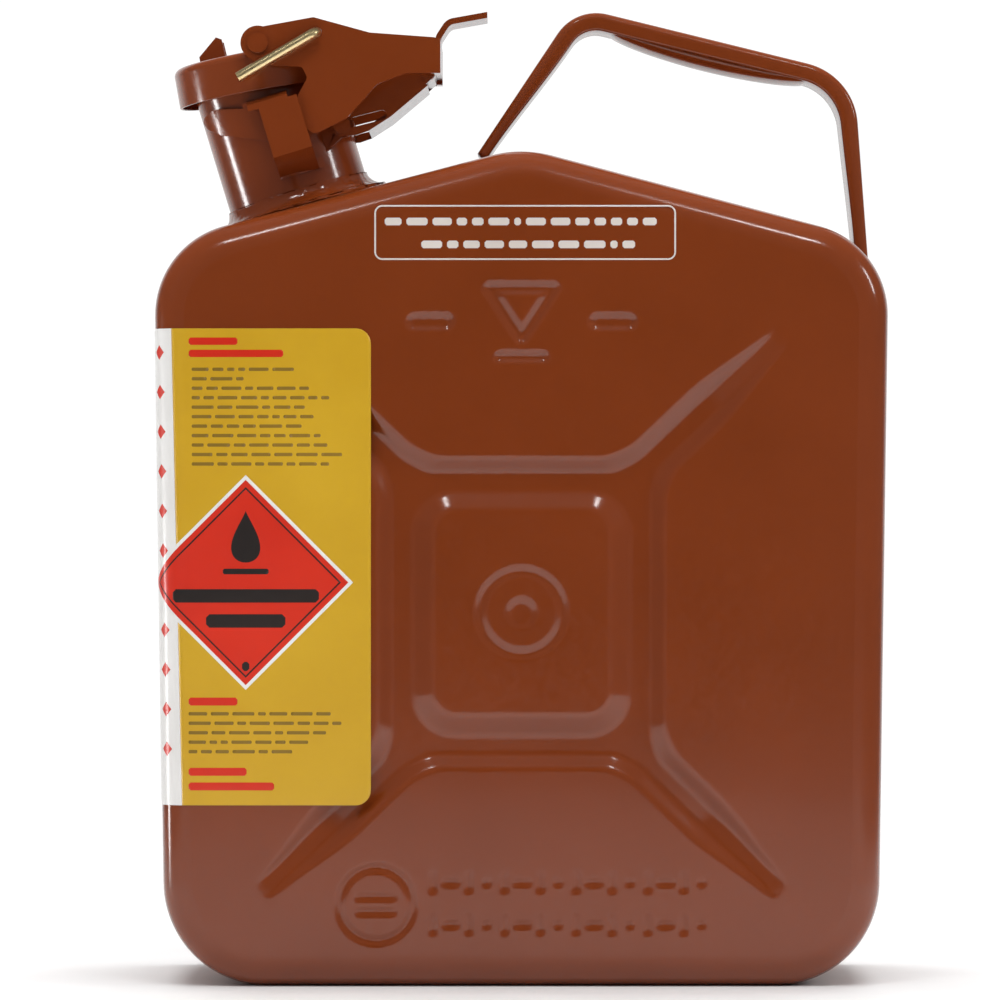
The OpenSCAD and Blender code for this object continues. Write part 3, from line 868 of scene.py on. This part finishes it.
def handle_path():
    """Outer line of the handle from its left foot to its right one."""
    slope = math.tan(LEG_ANGLE) + math.tan(GRIP_ANGLE)
    bend_x = (GRIP_TOP_Z - LEFT_FOOT[1] + LEFT_FOOT[0] * math.tan(LEG_ANGLE)) / slope
    bend = (bend_x, GRIP_TOP_Z - bend_x * math.tan(GRIP_ANGLE))
    grip_end = (GRIP_END_X, GRIP_TOP_Z - GRIP_END_X * math.tan(GRIP_ANGLE))
    return arc_path([LEFT_FOOT, bend, grip_end, RIGHT_FOOT], [LEFT_BEND_R, RIGHT_BEND_R], 4)


def resampled(path, spacing):
    """Points spaced evenly along a path, and each one's share of the whole length."""
    travel = [0.0]
    for a, b in zip(path[:-1], path[1:]):
        travel.append(travel[-1] + (b - a).length)
    count = int(travel[-1] / spacing)
    places = np.linspace(0, travel[-1], count + 1)
    xs = np.interp(places, travel, [p.x for p in path])
    zs = np.interp(places, travel, [p.y for p in path])
    return [Vector((x, z)) for x, z in zip(xs, zs)], places / travel[-1]


def handle_depth(share):
    """Depth of the strap: full along the grip, less towards both feet."""
    gain = GRIP_GAIN * float(smooth(share / GAIN_SPAN))
    return FOOT_DEPTH + gain - RIGHT_LOSS * float(smooth((share - LOSS_START) / LOSS_SPAN))


def strap_section(depth):
    """Section of the strap, across Y and down from its outer line, with rounded edges."""
    half = HANDLE_W / 2
    corners = [(-half, depth), (-half, 0), (half, 0), (half, depth)]
    return round_profile(corners, [INNER_EDGE_R, OUTER_EDGE_R, OUTER_EDGE_R, INNER_EDGE_R], 15)


def build_handle():
    """The bent strap, as its section carried along its path and closed at both feet."""
    path, shares = resampled(handle_path(), STRAP_SPACING)
    verts = []
    for i, (point, share) in enumerate(zip(path, shares)):
        ahead = (path[min(i + 1, len(path) - 1)] - path[max(i - 1, 0)]).normalized()
        inward = Vector((ahead.y, -ahead.x))
        section = strap_section(handle_depth(share))
        for y, down in section:
            place = point + inward * down
            verts.append((place.x, y, place.y))
    count = len(section)
    faces = grid_faces(len(path), count, wrap_cols=True)
    faces.append(tuple(range(count)))
    faces.append(tuple(range((len(path) - 1) * count, len(path) * count)))
    handle = new_piece("handle_strap", verts, faces, "can", PAINT)
    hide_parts("handle")


def build_grip_liner():
    """Rounded liner that fills the underside of the grip and fades out at both ends."""
    start_z = GRIP_TOP_Z - LINER_X * math.tan(GRIP_ANGLE)
    verts = []
    steps, across = 60, 24
    for i in range(steps + 1):
        share = i / steps
        swell = math.sin(math.pi * share) ** 0.45 if 0 < share < 1 else 0.0
        for k in range(across + 1):
            a = math.pi * k / across
            run = LINER_LENGTH * share
            down = LINER_TOP + (LINER_RIM + LINER_BELLY * math.sin(a) ** 0.8) * swell
            x = LINER_X + run * math.cos(GRIP_ANGLE) - down * math.sin(GRIP_ANGLE)
            z = start_z - run * math.sin(GRIP_ANGLE) - down * math.cos(GRIP_ANGLE)
            verts.append((x, LINER_HALF * math.cos(a), z))
    liner = new_piece("grip_liner_pressing", verts, grid_faces(steps + 1, across + 1), "can", PAINT)
    thicken(liner, LINER_T)
    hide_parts("grip_liner")


build_handle()
build_grip_liner()


# ---- Stage, light and camera, in metres ----

# VIEW_WIDTH is the width seen at the face
VIEW_DISTANCE = 2.0
VIEW_HEIGHT = 0.1596
VIEW_WIDTH = 0.3274
VIEW_SHIFT = -0.0215
SENSOR_MM = 36

# Plain white, as the camera sees it
BACKGROUND = 1.05
# The floor turns plain white between these distances from the can
FLOOR_FADE = (0.15, 0.5)

# Brightness of the tent overhead, of the edges of its opening, of its back and of its dark parts
TENT = 0.38
TENT_EDGES = 0.14
TENT_BACK = 0.9
TENT_DARK = 0.02
# Share of the tent's light that reflections lose
GLOSS_LOSS = 0.6

LAMP_AIM = (0, 0, 0.18)


def build_stage():
    """White table top. It ends a little way in front of the can, as its reflection in the face shows."""
    half, front, back = 0.7, -1.2, 1.6
    corners = [(-half, front, 0), (half, front, 0), (half, back, 0), (-half, back, 0)]
    mesh = bpy.data.meshes.new("studio_floor")
    mesh.from_pydata(corners, [], [(0, 1, 2, 3)])
    floor = bpy.data.objects.new("studio_floor", mesh)
    bpy.context.scene.collection.objects.link(floor)
    mesh.materials.append(floor_white())


def floor_white():
    """Matt white that fades into the plain white background away from the can, where the camera looks."""
    material = surface("studio_white", (0.86, 0.86, 0.86), (0.9, 0.9, 0.9),
                       rough=(0.6, 0.7), grain=40.0, bump=0.02, bump_mm=0.1)
    nodes, links = material.node_tree.nodes, material.node_tree.links
    place = nodes.new("ShaderNodeTexCoord")
    away = nodes.new("ShaderNodeVectorMath")
    away.operation = "LENGTH"
    links.new(place.outputs["Object"], away.inputs[0])
    fade = nodes.new("ShaderNodeMapRange")
    fade.interpolation_type = "SMOOTHSTEP"
    fade.inputs["From Min"].default_value = FLOOR_FADE[0]
    fade.inputs["From Max"].default_value = FLOOR_FADE[1]
    links.new(away.outputs["Value"], fade.inputs["Value"])
    light_path = nodes.new("ShaderNodeLightPath")
    share = nodes.new("ShaderNodeMath")
    share.operation = "MULTIPLY"
    links.new(fade.outputs["Result"], share.inputs[0])
    links.new(light_path.outputs["Is Camera Ray"], share.inputs[1])
    plain = nodes.new("ShaderNodeEmission")
    plain.inputs["Strength"].default_value = BACKGROUND
    mix = nodes.new("ShaderNodeMixShader")
    links.new(share.outputs["Value"], mix.inputs["Fac"])
    links.new(nodes["Principled BSDF"].outputs["BSDF"], mix.inputs[1])
    links.new(plain.outputs["Emission"], mix.inputs[2])
    links.new(mix.outputs["Shader"], nodes["Material Output"].inputs["Surface"])
    return material


def area_light(name, place, size_x, size_y, watts, glossy=True):
    """Rectangular lamp turned towards the can. Without glossy it doesn't show in reflections."""
    data = bpy.data.lights.new(name, "AREA")
    data.shape = "RECTANGLE"
    data.size = size_x
    data.size_y = size_y
    data.energy = watts
    lamp = bpy.data.objects.new(name, data)
    lamp.location = place
    lamp.rotation_mode = "QUATERNION"
    lamp.rotation_quaternion = (Vector(LAMP_AIM) - Vector(place)).to_track_quat("-Z", "Y")
    lamp.visible_glossy = glossy
    bpy.context.scene.collection.objects.link(lamp)


def build_room():
    """Bright tent with a dark opening round the camera, and plain white where the camera looks."""
    world = bpy.data.worlds.new("tent")
    bpy.context.scene.world = world
    world.use_nodes = True
    nodes, links = world.node_tree.nodes, world.node_tree.links
    nodes.clear()
    place = nodes.new("ShaderNodeTexCoord")
    axes = nodes.new("ShaderNodeSeparateXYZ")
    links.new(place.outputs["Generated"], axes.inputs["Vector"])

    def fade(source, start, end, low, high):
        """Brightness that goes from low to high as the source goes from start to end."""
        span = nodes.new("ShaderNodeMapRange")
        span.interpolation_type = "SMOOTHSTEP"
        span.inputs["From Min"].default_value = start
        span.inputs["From Max"].default_value = end
        span.inputs["To Min"].default_value = low
        span.inputs["To Max"].default_value = high
        links.new(source, span.inputs["Value"])
        return span.outputs["Result"]

    def combine(operation, a, b):
        """One sum of two values, each a plain number or another node's output."""
        node = nodes.new("ShaderNodeMath")
        node.operation = operation
        for socket, value in zip(node.inputs, (a, b)):
            if isinstance(value, float):
                socket.default_value = value
            else:
                links.new(value, socket)
        return node.outputs["Value"]

    light_path = nodes.new("ShaderNodeLightPath")
    tent = fade(axes.outputs["Z"], 0.15, 0.75, 0.0, TENT)
    aside = combine("ABSOLUTE", axes.outputs["X"], 0.0)
    edges = fade(aside, 0.062, 0.085, 0.0, TENT_EDGES)
    backdrop = fade(axes.outputs["Y"], 0.45, 0.85, 0.0, TENT_BACK)
    lost = combine("MULTIPLY", light_path.outputs["Is Glossy Ray"], GLOSS_LOSS)
    tent = combine("MULTIPLY", tent, combine("SUBTRACT", 1.0, lost))
    lit = combine("MAXIMUM", combine("MAXIMUM", tent, edges), backdrop)
    glow = combine("ADD", lit, TENT_DARK)
    white = combine("MULTIPLY", light_path.outputs["Is Camera Ray"], BACKGROUND)
    seen = combine("MAXIMUM", glow, white)
    background = nodes.new("ShaderNodeBackground")
    background.inputs["Color"].default_value = (1, 1, 1, 1)
    links.new(seen, background.inputs["Strength"])
    output = nodes.new("ShaderNodeOutputWorld")
    links.new(background.outputs["Background"], output.inputs["Surface"])


def build_lamps():
    """Two strips and two small lamps that glint on the paint, and broad ones that only fill."""
    area_light("strip_left", (-1.5, 0.1, -0.12), 0.2, 0.5, 6.0)
    area_light("strip_right", (1.5, -0.45, 0.9), 0.15, 0.5, 4.0)
    for side in (-1, 1):
        area_light("glint", (side * 0.55, -1.2, 1.65), 0.16, 0.16, 2.0)
        area_light("fill", (side * 1.4, -0.9, 0.9), 0.8, 0.8, 4.5, glossy=False)
    area_light("key", (0.0, -0.75, 1.55), 0.9, 0.6, 8.5, glossy=False)
    area_light("overhead", (0.0, 0.3, 1.8), 1.4, 0.8, 24.0, glossy=False)


def build_camera():
    """Level camera straight in front of the can, with its middle a little to one side."""
    data = bpy.data.cameras.new("camera")
    camera = bpy.data.objects.new("camera", data)
    bpy.context.scene.collection.objects.link(camera)
    data.sensor_width = SENSOR_MM
    data.lens = SENSOR_MM * (VIEW_DISTANCE - FACE_Y * MM) / VIEW_WIDTH
    data.shift_x = VIEW_SHIFT
    camera.location = (0, -VIEW_DISTANCE, VIEW_HEIGHT)
    camera.rotation_euler = (math.pi / 2, 0, 0)
    bpy.context.scene.camera = camera
    bpy.context.scene.view_settings.view_transform = "Standard"


build_stage()
build_room()
build_lamps()
build_camera()
